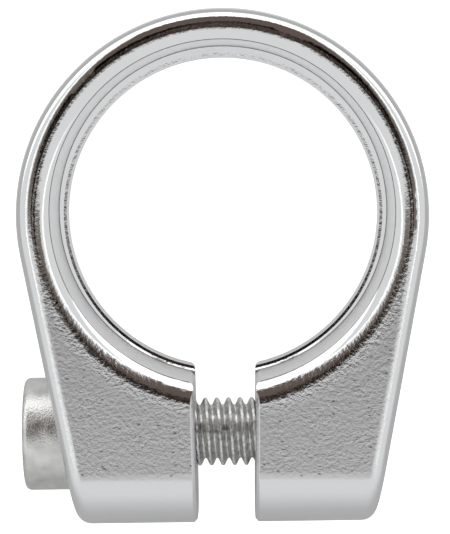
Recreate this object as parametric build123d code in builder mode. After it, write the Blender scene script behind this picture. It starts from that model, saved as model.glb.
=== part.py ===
from build123d import *
import math
import os

# Seatpost clamp, in millimetres. +Z runs along the bore out of its open mouth, the ears point to -Y,
# and the origin is on the bore axis, half way up the clamp, level with the screw.

# Tube and post that the clamp is made for
tube_diameter = 28.6
tube_clearance = 0.3
post_diameter = 27.2
post_clearance = 0.1

# Ring: machined bore, cast outside. The cast form sits a little nearer to the ears than the bore does,
# and the rounding of its mouth nearer still.
height = 14.0
lip_thickness = 2.0
ring_diameter = 34.7
cast_offset = 0.2
seat_slope = 30.5
land_slope = 6.0
land_width = 0.25
lip_edge_width = 0.15
lip_edge_height = 0.3
lip_chamfer = 0.25
mouth_offset = 0.45
mouth_round_radius = 2.5
mouth_round_width = 1.45
mouth_round_turn = 60.0
rim_radius = 1.35

# Ears, with the slot between them a little narrower at their ends
ear_reach = 26.5
flank_lean = 10.95
ear_end_radius = 4.7
slot_width_bore = 5.3
slot_width_end = 4.9
slot_corner_radius = 0.6
slot_edge_chamfer = 0.3

# M6 socket head screw across the ears
screw_end_distance = 7.5
thread_diameter = 5.85
thread_clearance = 0.05
shank_clearance = 0.375
head_diameter = 9.7
head_clearance = 0.45
head_height = 6.0
head_chamfer = 0.5
screw_seat_x = -11.25
screw_length = 25.0
tip_chamfer = 0.8
socket_across_flats = 5.0
socket_sides = 6
socket_depth = 3.0

# Distance by which cutting shapes run past the faces they cut
past = 2.0

# Derived values
bore_radius = (tube_diameter + tube_clearance) / 2
lip_radius = (post_diameter + post_clearance) / 2
ring_radius = ring_diameter / 2
top = height / 2
bottom = -top
seat_z = bottom + lip_thickness
lean = math.radians(flank_lean)
slope = math.radians(seat_slope)
land_lean = math.radians(land_slope)
screw_drop = ear_reach - screw_end_distance
thread_radius = thread_diameter / 2
tapped_radius = thread_radius + thread_clearance
shank_hole_radius = thread_radius + shank_clearance
head_radius = head_diameter / 2
head_pocket_radius = head_radius + head_clearance

# Each flank leaves the ring where it is tangent to it, and leans inward down to the ear's end
flank_top_x = ring_radius * math.cos(lean)
flank_top_y = -cast_offset - ring_radius * math.sin(lean)
flank_end_x = flank_top_x - (flank_top_y + ear_reach) * math.tan(lean)

# The mouth's rounding leaves a narrow crest beside the rim's, and its arc ends inside the bore
mouth_outer_radius = bore_radius + mouth_round_width
mouth_angle = math.radians(mouth_round_turn)
mouth_mid_radius = mouth_outer_radius - mouth_round_radius * math.sin(mouth_angle / 2)
mouth_mid_z = top - mouth_round_radius * (1 - math.cos(mouth_angle / 2))
mouth_inner_radius = mouth_outer_radius - mouth_round_radius * math.sin(mouth_angle)
mouth_inner_z = top - mouth_round_radius * (1 - math.cos(mouth_angle))

# The seat is a cone that falls from the bore wall to a narrow, almost level land, and the land's edge is broken
# by a steep chamfer into the lip's hole
land_inner_radius = lip_radius + lip_edge_width
land_outer_radius = land_inner_radius + land_width
seat_past_radius = bore_radius + past
seat_past_z = seat_z + past * math.tan(slope)
land_outer_z = seat_z - (bore_radius - land_outer_radius) * math.tan(slope)
land_inner_z = land_outer_z - land_width * math.tan(land_lean)

# The slot's corners follow the lip up to this height and the bore wall above it
corner_split_z = seat_z + slot_corner_radius

# The slot starts inside the bore and ends past the ears, and its walls close in along that length
slot_start_y = -bore_radius + past
slot_end_y = -ear_reach - past
slot_taper = (slot_width_bore - slot_width_end) / (ear_reach - bore_radius)
slot_start_width = slot_width_bore + slot_taper * past
slot_stop_width = slot_width_end - slot_taper * past
slot_corners = [
    (-slot_start_width / 2, slot_start_y),
    (slot_start_width / 2, slot_start_y),
    (slot_stop_width / 2, slot_end_y),
    (-slot_stop_width / 2, slot_end_y),
]

with BuildPart() as bore_space:
    # Space through the lip's hole and above the seat, turned about the cast form's axis
    with BuildSketch(Plane.XZ.offset(cast_offset)):
        with BuildLine():
            Polyline(
                (0, bottom - past),
                (lip_radius + lip_chamfer, bottom - past),
                (lip_radius + lip_chamfer, bottom),
                (lip_radius, bottom + lip_chamfer),
                (lip_radius, land_inner_z - lip_edge_height),
                (land_inner_radius, land_inner_z),
                (land_outer_radius, land_outer_z),
                (seat_past_radius, seat_past_z),
                (seat_past_radius, top + past),
                (0, top + past),
                close=True,
            )
        make_face()
    revolve(axis=Axis((0, -cast_offset, 0), (0, 0, 1)))

    # The bore's cutter, turning about the bore axis, reaches no further out than the bore wall
    Cylinder(bore_radius, height + 2 * past, mode=Mode.INTERSECT)

    # Space above the rounded mouth, turned about an axis of its own
    with BuildSketch(Plane.XZ.offset(mouth_offset)):
        with BuildLine():
            ThreePointArc(
                (mouth_outer_radius, top),
                (mouth_mid_radius, mouth_mid_z),
                (mouth_inner_radius, mouth_inner_z),
            )
            Polyline(
                (mouth_inner_radius, mouth_inner_z),
                (0, mouth_inner_z),
                (0, top + past),
                (mouth_outer_radius, top + past),
                (mouth_outer_radius, top),
            )
        make_face()
    revolve(axis=Axis((0, -mouth_offset, 0), (0, 0, 1)))

with BuildPart() as clamp_body:
    # Plan outline of ring and ears
    with BuildSketch(Plane.XY.offset(bottom)):
        with Locations((0, -cast_offset)):
            Circle(ring_radius)
        with BuildLine():
            Polyline(
                (-flank_top_x, flank_top_y),
                (flank_top_x, flank_top_y),
                (flank_end_x, -ear_reach),
                (-flank_end_x, -ear_reach),
                close=True,
            )
        make_face()
    extrude(amount=height)

    # Side view: the ear's end is rounded from both faces
    with BuildSketch(Plane.YZ.offset(-ring_radius - past)) as side_view:
        with Locations(((ring_radius + past - ear_reach) / 2, 0)):
            Rectangle(ring_radius + past + ear_reach, height)
        fillet(side_view.vertices().group_by(Axis.X)[0], ear_end_radius)
    extrude(amount=2 * (ring_radius + past), mode=Mode.INTERSECT)

    # One rounding runs round the rim of both faces and over the ears' outer corners
    smooth_seams = clamp_body.edges().filter_by(Axis.X) + [
        seam for seam in clamp_body.edges().filter_by(Axis.Z) if seam.center().Y > flank_top_y - past
    ]
    fillet(clamp_body.edges() - smooth_seams, rim_radius)

    # Slot between the ears, with its edges broken all round the ears
    with BuildSketch(Plane.XY.offset(bottom - past)):
        with BuildLine():
            Polyline(*slot_corners, close=True)
        make_face()
    extrude(amount=height + 2 * past, mode=Mode.SUBTRACT)
    slot_edges = clamp_body.edges().filter_by(
        lambda edge: abs(edge.center().X) < slot_start_width / 2
        and edge.bounding_box().size.X < slot_edge_chamfer
        and edge.center().Y < slot_start_y - slot_edge_chamfer
    )
    chamfer(slot_edges, slot_edge_chamfer)

    # Bore, seat and lip hole
    add(bore_space.part, mode=Mode.SUBTRACT)

    # Rounded corners where the slot leaves the lip and the bore wall
    with BuildSketch(Plane.XY.offset(bottom - past)) as lip_slot:
        with Locations((0, -cast_offset)):
            Circle(lip_radius)
        with BuildLine():
            Polyline(*slot_corners, close=True)
        make_face()
        fillet(lip_slot.vertices().sort_by_distance((0, -lip_radius))[:2], slot_corner_radius)
    extrude(amount=corner_split_z - bottom + past, mode=Mode.SUBTRACT)
    with BuildSketch(Plane.XY.offset(corner_split_z)) as bore_slot:
        Circle(bore_radius)
        with BuildLine():
            Polyline(*slot_corners, close=True)
        make_face()
        fillet(bore_slot.vertices().sort_by_distance((0, -bore_radius))[:2], slot_corner_radius)
    extrude(amount=height, mode=Mode.SUBTRACT)

    # Screw holes: a pocket for the head and a clear hole in one ear, a tapped hole in the other
    with BuildSketch(Plane.YZ.offset(screw_seat_x)):
        with Locations((-screw_drop, 0)):
            Circle(head_pocket_radius)
    extrude(amount=-ring_radius, mode=Mode.SUBTRACT)
    with BuildSketch(Plane.YZ.offset(screw_seat_x)):
        with Locations((-screw_drop, 0)):
            Circle(shank_hole_radius)
    extrude(amount=-screw_seat_x, mode=Mode.SUBTRACT)
    with BuildSketch(Plane.YZ):
        with Locations((-screw_drop, 0)):
            Circle(tapped_radius)
    extrude(amount=ring_radius, mode=Mode.SUBTRACT)

with BuildPart() as clamp_screw:
    # Head, with its outer edge chamfered
    with BuildSketch(Plane.YZ.offset(screw_seat_x)):
        with Locations((-screw_drop, 0)):
            Circle(head_radius)
    extrude(amount=-head_height)
    chamfer(clamp_screw.edges().group_by(Axis.X)[0], head_chamfer)

    # Threaded length at its outside diameter, with a chamfered tip
    with BuildSketch(Plane.YZ.offset(screw_seat_x)):
        with Locations((-screw_drop, 0)):
            Circle(thread_radius)
    extrude(amount=screw_length)
    chamfer(clamp_screw.edges().group_by(Axis.X)[-1], tip_chamfer)

    # Hex socket for the key
    with BuildSketch(Plane.YZ.offset(screw_seat_x - head_height)):
        with Locations((-screw_drop, 0)):
            RegularPolygon(socket_across_flats / 2, socket_sides, major_radius=False)
    extrude(amount=socket_depth, mode=Mode.SUBTRACT)

os.makedirs("parts", exist_ok=True)
clamp_body.part.label = "clamp body"
clamp_screw.part.label = "clamp screw"
export_step(clamp_body.part, "parts/clamp_body.step")
export_step(clamp_screw.part, "parts/clamp_screw.step")
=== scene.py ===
# %% [markdown]
# A seatpost clamp, dressed for its picture.
# The clamp is one casting, a ring with two ears, plated with bright chrome. A screw pulls the ears together.
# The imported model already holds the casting's true form, so that form stays and only gets its finish here.
# The screw's thread and rounded edges are too fine for that model, so the screw is built anew on the same sizes.

# %% Load the frame
import bpy
import math
from mathutils import Euler, Matrix, Vector


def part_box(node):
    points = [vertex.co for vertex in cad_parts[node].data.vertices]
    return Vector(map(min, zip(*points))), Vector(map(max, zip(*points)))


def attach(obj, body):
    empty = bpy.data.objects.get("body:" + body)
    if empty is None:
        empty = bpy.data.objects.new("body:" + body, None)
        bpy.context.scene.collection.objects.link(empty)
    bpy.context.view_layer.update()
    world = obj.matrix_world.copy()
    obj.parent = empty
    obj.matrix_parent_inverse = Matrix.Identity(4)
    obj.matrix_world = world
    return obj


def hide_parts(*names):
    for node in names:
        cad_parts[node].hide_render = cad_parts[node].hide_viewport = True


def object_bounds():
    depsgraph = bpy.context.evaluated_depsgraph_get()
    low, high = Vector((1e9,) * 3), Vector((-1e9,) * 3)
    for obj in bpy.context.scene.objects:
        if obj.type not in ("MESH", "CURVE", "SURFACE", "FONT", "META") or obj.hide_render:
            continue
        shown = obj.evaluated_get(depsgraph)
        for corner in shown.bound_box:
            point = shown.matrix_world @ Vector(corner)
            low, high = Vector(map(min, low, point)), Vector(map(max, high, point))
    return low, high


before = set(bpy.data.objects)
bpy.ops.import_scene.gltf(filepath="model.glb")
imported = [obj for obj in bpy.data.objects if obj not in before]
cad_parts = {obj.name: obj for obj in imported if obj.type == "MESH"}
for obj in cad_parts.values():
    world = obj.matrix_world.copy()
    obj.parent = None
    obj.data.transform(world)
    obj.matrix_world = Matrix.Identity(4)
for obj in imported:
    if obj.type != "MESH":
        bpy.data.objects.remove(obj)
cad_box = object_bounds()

MM = 0.001
clamp_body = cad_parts["clamp_body"]
low, high = (Vector(corner) for corner in cad_box)
print("clamp measures", [round(size / MM, 2) for size in high - low], "mm")

# %% [markdown]
# A few small helpers serve the whole lesson.
# Colours are picked as sRGB hex values, the way a paint chart gives them, but shaders count in linear light, so
# linear() turns one into the other. A node tree could be wired by hand in Blender's editor. Here one call makes a
# node, sets it and links it, so that the script reads in the order in which the tree is wired.

# %% Colour and node helpers
def linear(hex_colour):
    """Linear red, green, blue and alpha of an sRGB hex value such as "c8c8c4"."""
    channels = [int(hex_colour[place:place + 2], 16) / 255 for place in (0, 2, 4)]
    return [c / 12.92 if c <= 0.04045 else ((c + 0.055) / 1.055) ** 2.4 for c in channels] + [1.0]


def add_node(tree, kind, inputs=None, **settings):
    """One node: settings are its properties, inputs are values, or sockets of other nodes to link from."""
    node = tree.nodes.new("ShaderNode" + kind)
    for name, value in settings.items():
        setattr(node, name, value)
    for name, value in (inputs or {}).items():
        if isinstance(value, bpy.types.NodeSocket):
            tree.links.new(value, node.inputs[name])
        else:
            node.inputs[name].default_value = value
    return node


def new_material(name):
    """An empty node material with its output, ready for a shader."""
    material = bpy.data.materials.new(name)
    material.use_nodes = True
    material.node_tree.nodes.clear()
    return material, material.node_tree, add_node(material.node_tree, "OutputMaterial")


print("mid grey b0b0b0 is", round(linear("b0b0b0")[0], 3), "in linear light")

# %% [markdown]
# The camera hangs over the clamp and looks almost straight down the bore.
# Its height sets how much of the bore wall shows, and its small offset moves the far rim against the near one.
# A short lens close by would make the ring flare, so the lens is long and the ring stays round. The picture's height
# in pixels turns the focal length into millimetres.

# %% Camera
picture_height_px = 534
focal_length_px = 2540
sensor_height_mm = 36
camera_place_mm = Vector((1.13, 4.27, 218.7))
camera_turn_degrees = (-2.378, 0.229, -0.768)

camera_data = bpy.data.cameras.new("overhead_camera")
camera_data.sensor_fit = "VERTICAL"
camera_data.sensor_height = sensor_height_mm
camera_data.lens = focal_length_px / picture_height_px * sensor_height_mm
camera_data.clip_start = 0.01
camera = bpy.data.objects.new("overhead_camera", camera_data)
camera.location = camera_place_mm * MM
camera.rotation_euler = Euler([math.radians(angle) for angle in camera_turn_degrees])
bpy.context.scene.collection.objects.link(camera)
bpy.context.scene.camera = camera
print("lens", round(camera_data.lens, 1), "mm")

# %% [markdown]
# The clamp lies on its lip on a white table.
# A studio would bend a long sheet up behind it. From above only the level part of such a sheet shows, so one flat
# face is enough, large enough to run out of every view.

# %% White table
table_width = 2.4
half = table_width / 2
table_corners = [(-half, -half, low.z), (half, -half, low.z), (half, half, low.z), (-half, half, low.z)]
table_mesh = bpy.data.meshes.new("white_table")
table_mesh.from_pydata(table_corners, [], [(0, 1, 2, 3)])
table = bpy.data.objects.new("white_table", table_mesh)
bpy.context.scene.collection.objects.link(table)
print("table lies at", round(low.z / MM, 2), "mm")

# %% [markdown]
# The table top is matt opal acrylic with a lamp below it. It gives the eye an even white and only a soft shadow.
# The picture is exposed for the chrome, so a white table burns out behind it. A stronger lamp would burn it out too,
# but would also wash out what the chrome mirrors. So the extra glow goes only to what the lens sees directly.

# %% Opal acrylic
lamp_place_mm = Vector((0, 8, 0))
lamp_reach_mm = 16, 34
lamp_glow, far_glow, burnt_out_glow = 0.55, 0.12, 1.0

opal, tree, output = new_material("opal acrylic lit from below")
place = add_node(tree, "TexCoord").outputs["Object"]
below_lamp = lamp_place_mm * MM + Vector((0, 0, low.z))
from_lamp = add_node(tree, "VectorMath", {0: place, 1: below_lamp}, operation="DISTANCE").outputs["Value"]
opal_glow = add_node(
    tree, "MapRange",
    {"Value": from_lamp, "From Min": lamp_reach_mm[0] * MM, "From Max": lamp_reach_mm[1] * MM,
     "To Min": lamp_glow, "To Max": far_glow}).outputs[0]
seen_directly = add_node(tree, "LightPath").outputs["Is Camera Ray"]
glow = add_node(
    tree, "MapRange", {"Value": seen_directly, "To Min": opal_glow, "To Max": burnt_out_glow}).outputs[0]
shader = add_node(
    tree, "BsdfPrincipled",
    {"Base Color": linear("c0c0c0"), "Roughness": 0.9, "Specular IOR Level": 0.0,
     "Emission Color": linear("ffffff"), "Emission Strength": glow})
tree.links.new(shader.outputs["BSDF"], output.inputs["Surface"])
table_mesh.materials.append(opal)
print("lamp fades out", lamp_reach_mm[1], "mm from its middle")

# %% [markdown]
# Chrome has hardly any colour of its own: what it shows is the room.
# A studio puts chrome into a tent of light grey cloth with bright panels, and a dark patch stays overhead where the
# camera looks in past a dark screen. Lamps and sheets could be modelled for this. Here the tent is painted on the sky
# instead, so that a panel is no more than a direction and two widths, and casts no shadow of its own.

# %% Tent panels
tent_strength = 0.77
tent_cloth = "ffffff", 1.2
tent_panels = [
    # name, degrees towards +X and +Y from straight up, half widths in degrees, soft edge, colour, strength
    ("back softbox", (0, 69), (80, 15), 0.15, "ffffff", 2.8),
    ("front wall", (0, -92), (90, 26), 0.5, "f4f4f4", 1.0),
    ("left strip", (-38, 18), (3, 36), 0.3, "ffffff", 2.2),
    ("right strip", (38, 18), (3, 36), 0.3, "ffffff", 2.2),
    ("dim room", (0, 19.5), (28, 22.5), 0.06, "92877f", 1.0),
    ("dark screen", (0, 33.5), (22, 20), 0.06, "7c6d66", 1.0),
    ("camera body", (0, 10), (16, 7.2), 0.12, "060404", 1.0),
    ("left grip", (-4.5, 0), (2.6, 4), 0.25, "1c1816", 1.0),
    ("right grip", (4.5, 0), (2.6, 4), 0.25, "1c1816", 1.0),
    ("camera lens", (0, 10), (2.5, 8.5), 0.15, "544843", 1.0),
]


def lit(hex_colour, strength):
    """The linear colour of a panel that shines with some strength."""
    return [channel * strength for channel in linear(hex_colour)[:3]] + [1.0]


print("tent has", len(tent_panels), "panels:", ", ".join(panel[0] for panel in tent_panels))

# %% [markdown]
# Each panel is a soft-edged rectangle, painted over the ones before it.
# How far a direction of the sky lies to the side of the panel's middle, and above it, are two angles. Each is taken as
# a share of the panel's half width, and the larger share tells inside from outside. A round spot would need only one
# angle, but a studio's panels have straight edges, and so have the bands that they leave on the chrome.

# %% Painted sky
# A Mix node has sockets for every kind of data. These are the places of its two colours and of their mixture.
colour_a, colour_b, mixed_colour = 6, 7, 2

world = bpy.data.worlds.new("light tent")
bpy.context.scene.world = world
world.use_nodes = True
tree = world.node_tree
tree.nodes.clear()
direction = add_node(tree, "TexCoord").outputs["Generated"]
sky = lit(*tent_cloth)
for name, towards, half_widths, soft_edge, colour, strength in tent_panels:
    tilt_x, tilt_y = (math.radians(angle) for angle in towards)
    turn = Matrix.Rotation(tilt_x, 3, "Y") @ Matrix.Rotation(-tilt_y, 3, "X")
    *sideways, ahead = (
        add_node(tree, "VectorMath", {0: direction, 1: axis}, operation="DOT_PRODUCT").outputs["Value"]
        for axis in turn.col
    )
    shares = []
    for side, half_width in zip(sideways, half_widths):
        angle = add_node(tree, "Math", {0: side, 1: ahead}, operation="ARCTAN2").outputs[0]
        share = add_node(tree, "Math", {0: angle, 1: math.radians(half_width)}, operation="DIVIDE").outputs[0]
        shares.append(add_node(tree, "Math", {0: share}, operation="ABSOLUTE").outputs[0])
    reach = add_node(tree, "Math", {0: shares[0], 1: shares[1]}, operation="MAXIMUM").outputs[0]
    inside = add_node(
        tree, "MapRange",
        {"Value": reach, "From Min": 1 - soft_edge, "From Max": 1 + soft_edge, "To Min": 1.0, "To Max": 0.0},
        interpolation_type="SMOOTHSTEP").outputs[0]
    painted = {0: inside, colour_a: sky, colour_b: lit(colour, strength)}
    sky = add_node(tree, "Mix", painted, data_type="RGBA").outputs[mixed_colour]
print("sky has", len(tree.nodes), "nodes")

# %% Light from the sky
background = add_node(tree, "Background", {"Color": sky, "Strength": tent_strength})
output = add_node(tree, "OutputWorld")
tree.links.new(background.outputs[0], output.inputs["Surface"])
bpy.context.scene.view_settings.view_transform = "Standard"
print("tent shines at", tent_strength, "of its panels' strength")

# %% [markdown]
# The casting's surface is stored as many small flat faces, in one patch for each rounding.
# Chrome would show every seam between the patches. Plain smooth shading would hide the seams, but also bend the flats.
# So the patches are welded, real corners are split by their angle, and weighted normals let the large faces keep
# their flatness while the roundings flow into them.

# %% Smooth reflections on the casting
weld_gap_mm = 0.0005
corner_angle = 21

weld = clamp_body.modifiers.new("weld patches", "WELD")
weld.merge_threshold = weld_gap_mm * MM
corners = clamp_body.modifiers.new("split corners", "EDGE_SPLIT")
corners.split_angle = math.radians(corner_angle)
normals = clamp_body.modifiers.new("weighted normals", "WEIGHTED_NORMAL")
normals.weight = 60
normals.keep_sharp = True
print("casting has", len(clamp_body.data.polygons), "faces")

# %% [markdown]
# Bright chrome plate over cast steel is a thin hard mirror that follows the casting below it.
# It gives the eye sharp bands of light and dark where the casting was polished or turned, and a broken grey where it
# was left as cast. The finishes could be painted on as a picture. They follow the form here, so they are worked out
# from it: from the distance to the bore's axis, and from how squarely a face looks up or down.

# %% Distance and slope
chrome, tree, output = new_material("bright chrome plate over cast steel")
coordinates = add_node(tree, "TexCoord")
place = coordinates.outputs["Object"]
facing = add_node(tree, "SeparateXYZ", {0: coordinates.outputs["Normal"]}).outputs["Z"]
upward = add_node(tree, "Math", {0: facing}, operation="ABSOLUTE").outputs[0]
across_bore = add_node(tree, "VectorMath", {0: place, 1: (1, 1, 0)}, operation="MULTIPLY").outputs[0]
from_axis = add_node(tree, "VectorMath", {0: across_bore}, operation="LENGTH").outputs["Value"]
from_ears = add_node(tree, "SeparateXYZ", {0: place}).outputs["Y"]
print("chrome starts with", len(tree.nodes), "nodes")

# %% Where the finish changes
# Each pair of values is where a change starts and where it ends. A slope of 0 is a wall, a slope of 1 is level.
bore_radius_mm = 14.45
lip_mm = 14.15, bore_radius_mm
bore_end_mm = 14.7, 15.5
crest_end_mm = 16.0, 17.8
ear_ends_mm = -22.0, -20.5
wall_end_slope = 0.25, 0.35
crest_slope = 0.72, 0.92
flat_slope = 0.988, 0.9999

marks = {}
for mark, value, (start, end), unit, before, after in (
    ("past the bore", from_axis, bore_end_mm, MM, 0.0, 1.0),
    ("past the crest", from_axis, crest_end_mm, MM, 0.0, 1.0),
    ("on the lip", from_axis, lip_mm, MM, 1.0, 0.0),
    ("on the ear ends", from_ears, ear_ends_mm, MM, 1.0, 0.0),
    ("off the wall", upward, wall_end_slope, 1, 0.0, 1.0),
    ("gently sloped", upward, crest_slope, 1, 0.0, 1.0),
    ("level", upward, flat_slope, 1, 0.0, 1.0),
):
    limits = {"From Min": start * unit, "From Max": end * unit, "To Min": before, "To Max": after}
    marks[mark] = add_node(
        tree, "MapRange", {"Value": value, **limits}, interpolation_type="SMOOTHSTEP").outputs[0]
flat = add_node(
    tree, "Math", {0: marks["level"], 1: marks["past the crest"]}, operation="MULTIPLY").outputs[0]
crest = add_node(
    tree, "Math", {0: marks["gently sloped"], 1: marks["past the bore"]}, operation="MULTIPLY").outputs[0]
print("cast skin starts", bore_end_mm[1], "mm from the bore's axis")

# %% [markdown]
# Cast skin under plate looks like orange peel: bumps about a quarter of a millimetre wide, in rougher and smoother
# patches. It is boldest on the flats. The ring's crest was polished, least of all near the ears, and the lip was
# turned. What is polished best keeps only a slow ripple.
# Sculpting the bumps would take millions of faces. They are far lower than they are wide and never break the outline,
# so noise that tilts the shading is enough.

# %% Orange peel and ripple
peel_width_mm = 0.3
patch_width_mm = 2.2
ripple_width_mm = 0.9
# Each pair of amounts belongs to the start and the end of a change, such as from near the ears to far from them.
near_ears_to_far_mm = -14, 0
crest_peel = 0.6, 0.15
lip_peel = 0.28, 0.6
patch_limits = 0.35, 0.65
patch_peel = 0.45, 1.0
polished_peel = 0.04

peel = add_node(
    tree, "TexNoise", {"Vector": place, "Scale": 1 / (peel_width_mm * MM), "Detail": 3.5, "Roughness": 0.6})
patch = add_node(tree, "TexNoise", {"Vector": place, "Scale": 1 / (patch_width_mm * MM), "Detail": 1.0})
ripple = add_node(tree, "TexNoise", {"Vector": place, "Scale": 1 / (ripple_width_mm * MM), "Detail": 1.0})
skin = polished_peel
for where, value, (start, end), unit, (before, after) in (
    (flat, patch.outputs[0], patch_limits, 1, patch_peel),
    (crest, from_ears, near_ears_to_far_mm, MM, crest_peel),
    (marks["on the lip"], from_ears, near_ears_to_far_mm, MM, lip_peel),
):
    limits = {"From Min": start * unit, "From Max": end * unit, "To Min": before, "To Max": after}
    amount = add_node(
        tree, "MapRange", {"Value": value, **limits}, interpolation_type="SMOOTHSTEP").outputs[0]
    amount = add_node(tree, "Math", {0: where, 1: amount}, operation="MULTIPLY").outputs[0]
    skin = add_node(tree, "Math", {0: skin, 1: amount}, operation="MAXIMUM").outputs[0]
peel_strength = add_node(tree, "Math", {0: skin, 1: marks["off the wall"]}, operation="MULTIPLY").outputs[0]
print("peel grain", peel_width_mm, "mm, in patches of about", patch_width_mm, "mm")

# %% [markdown]
# The flats carry small pits as well, where gas left the metal. The pits have no depth in the form, so the shade inside
# them is painted on as a dark colour.
# A cell pattern scatters points, and a share of its cells gets a pit at the point. The pattern alone would give
# neat dots, so its place wanders with the peel and is stretched one way, which leaves short uneven marks.

# %% Pits, with painted shade
pit_spacing_mm = 0.75
pit_share = 0.35
pit_reach = 0.03, 0.13
pit_stretch = (0.5, 1.0, 1.0)
pit_wander_mm = 0.25

wander = {0: peel.outputs["Color"], 1: [pit_wander_mm * MM] * 3, 2: place}
wandering = add_node(tree, "VectorMath", wander, operation="MULTIPLY_ADD").outputs[0]
stretched = add_node(tree, "VectorMath", {0: wandering, 1: pit_stretch}, operation="MULTIPLY").outputs[0]
pits = add_node(
    tree, "TexVoronoi", {"Vector": stretched, "Scale": 1 / (pit_spacing_mm * MM), "Randomness": 1.0},
    voronoi_dimensions="2D")
pit_chance = add_node(tree, "SeparateColor", {0: pits.outputs["Color"]}).outputs[0]
has_pit = add_node(tree, "Math", {0: pit_chance, 1: pit_share}, operation="LESS_THAN").outputs[0]
in_pit = add_node(
    tree, "MapRange",
    {"Value": pits.outputs["Distance"], "From Min": pit_reach[0], "From Max": pit_reach[1],
     "To Min": 1.0, "To Max": 0.0},
    interpolation_type="SMOOTHSTEP").outputs[0]
# Painted shade: the dark colour that this mask brings stands in for the shade inside each pit.
painted_pit_shade = add_node(tree, "Math", {0: has_pit, 1: in_pit}, operation="MULTIPLY").outputs[0]
painted_pit_shade = add_node(tree, "Math", {0: painted_pit_shade, 1: flat}, operation="MULTIPLY").outputs[0]
print("pits lie about", round(pit_spacing_mm / pit_share ** 0.5, 1), "mm apart")

# %% [markdown]
# A fine groove runs where the bore wall begins and where it ends, and shade falls in it. A groove that fine would need
# faces of its own, so its shade is painted on as a dark hair line at the wall's distance from the axis.

# %% Hair lines of painted shade at the bore wall
hair_line_mm = 0.055
hair_line_fade = 1.3

off_radius = add_node(tree, "Math", {0: from_axis, 1: bore_radius_mm * MM}, operation="SUBTRACT").outputs[0]
from_wall = add_node(tree, "Math", {0: off_radius}, operation="ABSOLUTE").outputs[0]
near_wall = add_node(
    tree, "MapRange",
    {"Value": from_wall, "From Min": hair_line_mm * MM, "From Max": hair_line_fade * hair_line_mm * MM,
     "To Min": 1.0, "To Max": 0.0},
    interpolation_type="SMOOTHSTEP").outputs[0]
# Painted shade: this mask darkens a hair line where the fine groove would hold shade.
painted_groove_shade = add_node(tree, "Math", {0: near_wall, 1: marks["off the wall"]}, operation="MULTIPLY").outputs[0]
print("hair lines are", 2 * hair_line_mm, "mm wide")

# %% [markdown]
# Light takes the plate's direction from three layers: the casting's own form, the slow ripple and the peel.
# Polishing softened the casting's edges outside the bore, so the Bevel node eases them. The turned edges stay crisp.
# Bump nodes then stack one layer on the other, each with its real height.

# %% Direction of the plate
eased_edge_mm = 0.15
ripple_height_mm = 0.006
peel_height_mm = 0.055
# These are the places of a Mix node's two vectors and of their mixture.
vector_a, vector_b, mixed_vector = 4, 5, 1

crisp = add_node(tree, "NewGeometry").outputs["Normal"]
eased = add_node(tree, "Bevel", {"Radius": eased_edge_mm * MM}, samples=4).outputs[0]
edges = {0: marks["past the crest"], vector_a: crisp, vector_b: eased}
normal = add_node(tree, "Mix", edges, data_type="VECTOR").outputs[mixed_vector]
for height, height_mm, strength in (
    (ripple.outputs[0], ripple_height_mm, 1.0),
    (peel.outputs[0], peel_height_mm, peel_strength),
):
    layer = {"Height": height, "Distance": height_mm * MM, "Strength": strength, "Normal": normal}
    normal = add_node(tree, "Bump", layer).outputs[0]
print("edges are eased by", eased_edge_mm, "mm")

# %% [markdown]
# Chrome is a metal, so a colour and a roughness say it all.
# It is a light cold grey and nearly a mirror where polished, and a little darker and blurred on the flats. The ear
# ends are as soft as the flats but clean, and the turned bore wall is satin. All of it could be four materials, but
# one that changes from place to place leaves no borders.

# %% Chrome plate over cast steel
polished_roughness, rim_roughness, soft_roughness, wall_roughness = 0.06, 0.14, 0.3, 0.35
# The last colour is painted shade for the pits and the hair lines.
polished_colour, flat_colour, hollow_shade_colour = "dadbdc", "cacacb", "7a7876"

soft = add_node(tree, "Math", {0: flat, 1: marks["on the ear ends"]}, operation="MAXIMUM").outputs[0]
roughness = polished_roughness
for where, rougher in ((marks["past the crest"], rim_roughness), (soft, soft_roughness)):
    roughness = add_node(
        tree, "MapRange", {"Value": where, "To Min": roughness, "To Max": rougher},
        interpolation_type="SMOOTHSTEP").outputs[0]
roughness = add_node(
    tree, "MapRange", {"Value": marks["off the wall"], "To Min": wall_roughness, "To Max": roughness},
    interpolation_type="SMOOTHSTEP").outputs[0]
# Painted shade: pits and hair lines take a dark colour for the shade in hollows that the form doesn't have.
painted_hollow_shade = add_node(tree, "Math", {0: painted_pit_shade, 1: painted_groove_shade}, operation="MAXIMUM").outputs[0]
plate_colour = linear(polished_colour)
for where, other_colour in ((flat, flat_colour), (painted_hollow_shade, hollow_shade_colour)):
    colours = {0: where, colour_a: plate_colour, colour_b: linear(other_colour)}
    plate_colour = add_node(tree, "Mix", colours, data_type="RGBA").outputs[mixed_colour]
shader = add_node(
    tree, "BsdfPrincipled",
    {"Base Color": plate_colour, "Metallic": 1.0, "Roughness": roughness, "Normal": normal})
tree.links.new(shader.outputs["BSDF"], output.inputs["Surface"])
clamp_body.data.materials.clear()
clamp_body.data.materials.append(chrome)
print("chrome has", len(tree.nodes), "nodes")

# %% [markdown]
# The screw is an M6 socket head screw: a turned head with a broached hexagon, and a rolled thread.
# A screw modifier could wind the thread, and a boolean could cut the socket, but both leave seams where the parts
# meet. So the screw is one skin of rings strung along its axis, from the socket's floor out over the head and down
# the thread to the tip. A ring may be round, six-sided, or follow the thread's wave, and one loop joins them all.

# %% Screw sizes
screw_low, screw_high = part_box("clamp_screw")
axis_y = (screw_low[1] + screw_high[1]) / 2
axis_z = (screw_low[2] + screw_high[2]) / 2
head_end = screw_low[0]
tip_end = screw_high[0]
head_radius = (screw_high[2] - screw_low[2]) / 2
head_height = 6.0 * MM
head_seat = head_end + head_height
print("screw runs from", round(head_end / MM, 2), "to", round(tip_end / MM, 2), "mm")

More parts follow.
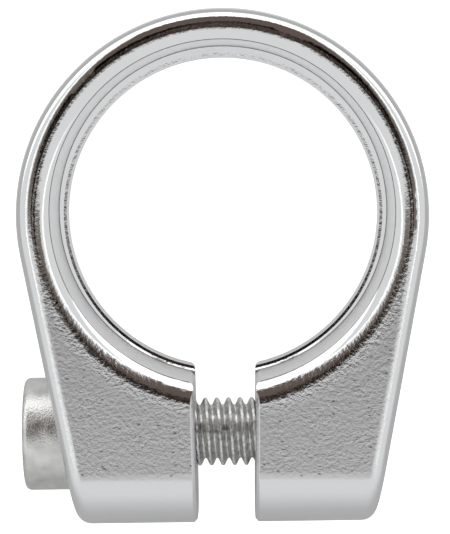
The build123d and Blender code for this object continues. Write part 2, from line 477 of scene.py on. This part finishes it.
# %% Socket ring
sides = 96
socket_half = 2.5 * MM
ring_angles = [step * 2 * math.pi / sides for step in range(sides)]


def hexagon(angle, half_width):
    """Distance from the axis to a hexagon's side in the direction of angle."""
    sector = math.pi / 3
    return half_width / math.cos((angle + sector / 2) % sector - sector / 2)


socket_ring = [hexagon(angle, socket_half) for angle in ring_angles]
print("socket is", round(2 * min(socket_ring) / MM, 2), "mm across its flats")

# %% Thread ring
thread_radius = 2.925 * MM
thread_depth = 0.62 * MM
pitch = 1.0 * MM
tip_chamfer = 0.8 * MM
crest_share = 0.2
root_share = 0.14
flank_curve = 0.35
thread_start_turn = 0.965


def thread_wave(x, angle):
    """Depth of the thread below its crest, from 0 to 1, at a place along and round the screw."""
    turn = ((x - head_seat) / pitch - angle / (2 * math.pi) + thread_start_turn) % 1.0
    from_crest = abs(turn - 0.5) * 2
    flank = (from_crest - crest_share) / (1 - crest_share - root_share)
    flank = min(max(flank, 0.0), 1.0)
    return flank * flank * (3 - 2 * flank) * flank_curve + flank * (1 - flank_curve)


def thread_ring(x):
    """One ring of the thread, which fades out at the head and is cut back by the tip's chamfer."""
    fade = min(max((x - head_seat) / pitch, 0.0), 1.0)
    limit = thread_radius - max(0.0, x - (tip_end - tip_chamfer))
    return [min(thread_radius - thread_depth * thread_wave(x, angle) * fade, limit) for angle in ring_angles]


middle_ring = thread_ring((head_seat + tip_end) / 2)
print("thread root lies", round((max(middle_ring) - min(middle_ring)) / MM, 2), "mm below its crest")

# %% Rings from the socket's floor to the tip
socket_depth = 3.0 * MM
socket_chamfer = 0.15 * MM
head_round = 0.5 * MM
head_round_steps = 6
seat_edge = 0.1 * MM
rows_per_pitch = 16

rings = [
    (head_end + socket_depth, socket_ring),
    (head_end + socket_chamfer, socket_ring),
    (head_end, [radius + socket_chamfer for radius in socket_ring]),
]
for step in range(head_round_steps + 1):
    corner = step / head_round_steps * math.pi / 2
    x = head_end + head_round * (1 - math.cos(corner))
    rings.append((x, [head_radius - head_round * (1 - math.sin(corner))] * sides))
rings.append((head_seat - seat_edge, [head_radius] * sides))
rings.append((head_seat, [head_radius - seat_edge] * sides))
thread_rows = round((tip_end - head_seat) / pitch * rows_per_pitch)
for row in range(thread_rows + 1):
    x = head_seat + (tip_end - head_seat) * row / thread_rows
    rings.append((x, thread_ring(x)))
print("screw has", len(rings), "rings,", thread_rows + 1, "of them on the thread")

# %% Skin over the rings
points = []
for x, radii in rings:
    for angle, radius in zip(ring_angles, radii):
        points.append((x, axis_y + radius * math.cos(angle), axis_z + radius * math.sin(angle)))
# A face's corners run anticlockwise as seen from outside, so that every face looks outward.
faces = []
for ring in range(len(rings) - 1):
    near, far = ring * sides, (ring + 1) * sides
    for step in range(sides):
        beside = (step + 1) % sides
        faces.append((near + step, near + beside, far + beside, far + step))
socket_centre, tip_centre = len(points), len(points) + 1
points.append((rings[0][0], axis_y, axis_z))
points.append((rings[-1][0], axis_y, axis_z))
last = (len(rings) - 1) * sides
for step in range(sides):
    beside = (step + 1) % sides
    faces.append((socket_centre, beside, step))
    faces.append((tip_centre, last + step, last + beside))
print("skin has", len(points), "points and", len(faces), "faces")

# %% Threaded screw
sharp_angle = 38

screw_mesh = bpy.data.meshes.new("clamp_screw_threaded")
screw_mesh.from_pydata(points, [], faces)
screw_mesh.shade_smooth()
screw_mesh.set_sharp_from_angle(angle=math.radians(sharp_angle))
screw = bpy.data.objects.new("clamp_screw_threaded", screw_mesh)
bpy.context.scene.collection.objects.link(screw)
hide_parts("clamp_screw")
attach(screw, "screw")
print(screw.name, "stands for clamp_screw")

# %% [markdown]
# The screw is steel with a thin coat of bright zinc over a turned head and a rolled thread.
# Zinc gives the eye a duller, warmer grey than chrome. The coat on the head breaks up into slightly cloudy patches,
# and rolling leaves the thread speckled. One even grey would look like plastic, so the colour and the roughness both
# wander, by noises of different width.

# %% Zinc patterns
cloud_width_mm = 1.2
speck_width_mm = 0.3
# The coat's crystals are a few thousandths of a millimetre wide. They are drawn much coarser, or they wouldn't show.
grain_width_mm = 0.15

zinc, tree, output = new_material("zinc-plated rolled steel")
place = add_node(tree, "TexCoord").outputs["Object"]
cloud, speck, grain = (
    add_node(tree, "TexNoise", {"Vector": place, "Scale": 1 / (width_mm * MM), "Detail": detail}).outputs[0]
    for width_mm, detail in ((cloud_width_mm, 2.5), (speck_width_mm, 3.0), (grain_width_mm, 2.0))
)
along_screw = add_node(tree, "SeparateXYZ", {0: place}).outputs["X"]
print("zinc clouds", cloud_width_mm, "mm, specks", speck_width_mm, "mm")

# %% Zinc-plated steel
grain_height_mm = 0.03
thread_fade = 0.2 * MM
thread_start = head_seat - thread_fade, head_seat + thread_fade
cloud_limits, speck_limits = (-0.2, 1.2), (0.25, 0.75)
rough_limits, zinc_roughness = (0.3, 0.7), (0.28, 0.42)
dull_zinc, bright_zinc = "acacaa", "eaeae9"

on_thread, cloudy, speckled, roughness = (
    add_node(
        tree, "MapRange",
        {"Value": value, "From Min": start, "From Max": end, "To Min": before, "To Max": after},
        interpolation_type="SMOOTHSTEP").outputs[0]
    for value, (start, end), (before, after) in (
        (along_screw, thread_start, (0.0, 1.0)),
        (cloud, cloud_limits, (0.0, 1.0)),
        (speck, speck_limits, (0.0, 1.0)),
        (cloud, rough_limits, zinc_roughness),
    )
)
shade = add_node(
    tree, "MapRange", {"Value": on_thread, "To Min": cloudy, "To Max": speckled},
    interpolation_type="SMOOTHSTEP").outputs[0]
colours = {0: shade, colour_a: linear(dull_zinc), colour_b: linear(bright_zinc)}
zinc_colour = add_node(tree, "Mix", colours, data_type="RGBA").outputs[mixed_colour]
normal = add_node(
    tree, "Bump", {"Height": grain, "Distance": grain_height_mm * MM, "Strength": 1.0}).outputs[0]
shader = add_node(
    tree, "BsdfPrincipled",
    {"Base Color": zinc_colour, "Metallic": 1.0, "Roughness": roughness, "Normal": normal})
tree.links.new(shader.outputs["BSDF"], output.inputs["Surface"])
screw_mesh.materials.append(zinc)
print("zinc roughness runs from", zinc_roughness[0], "to", zinc_roughness[1])
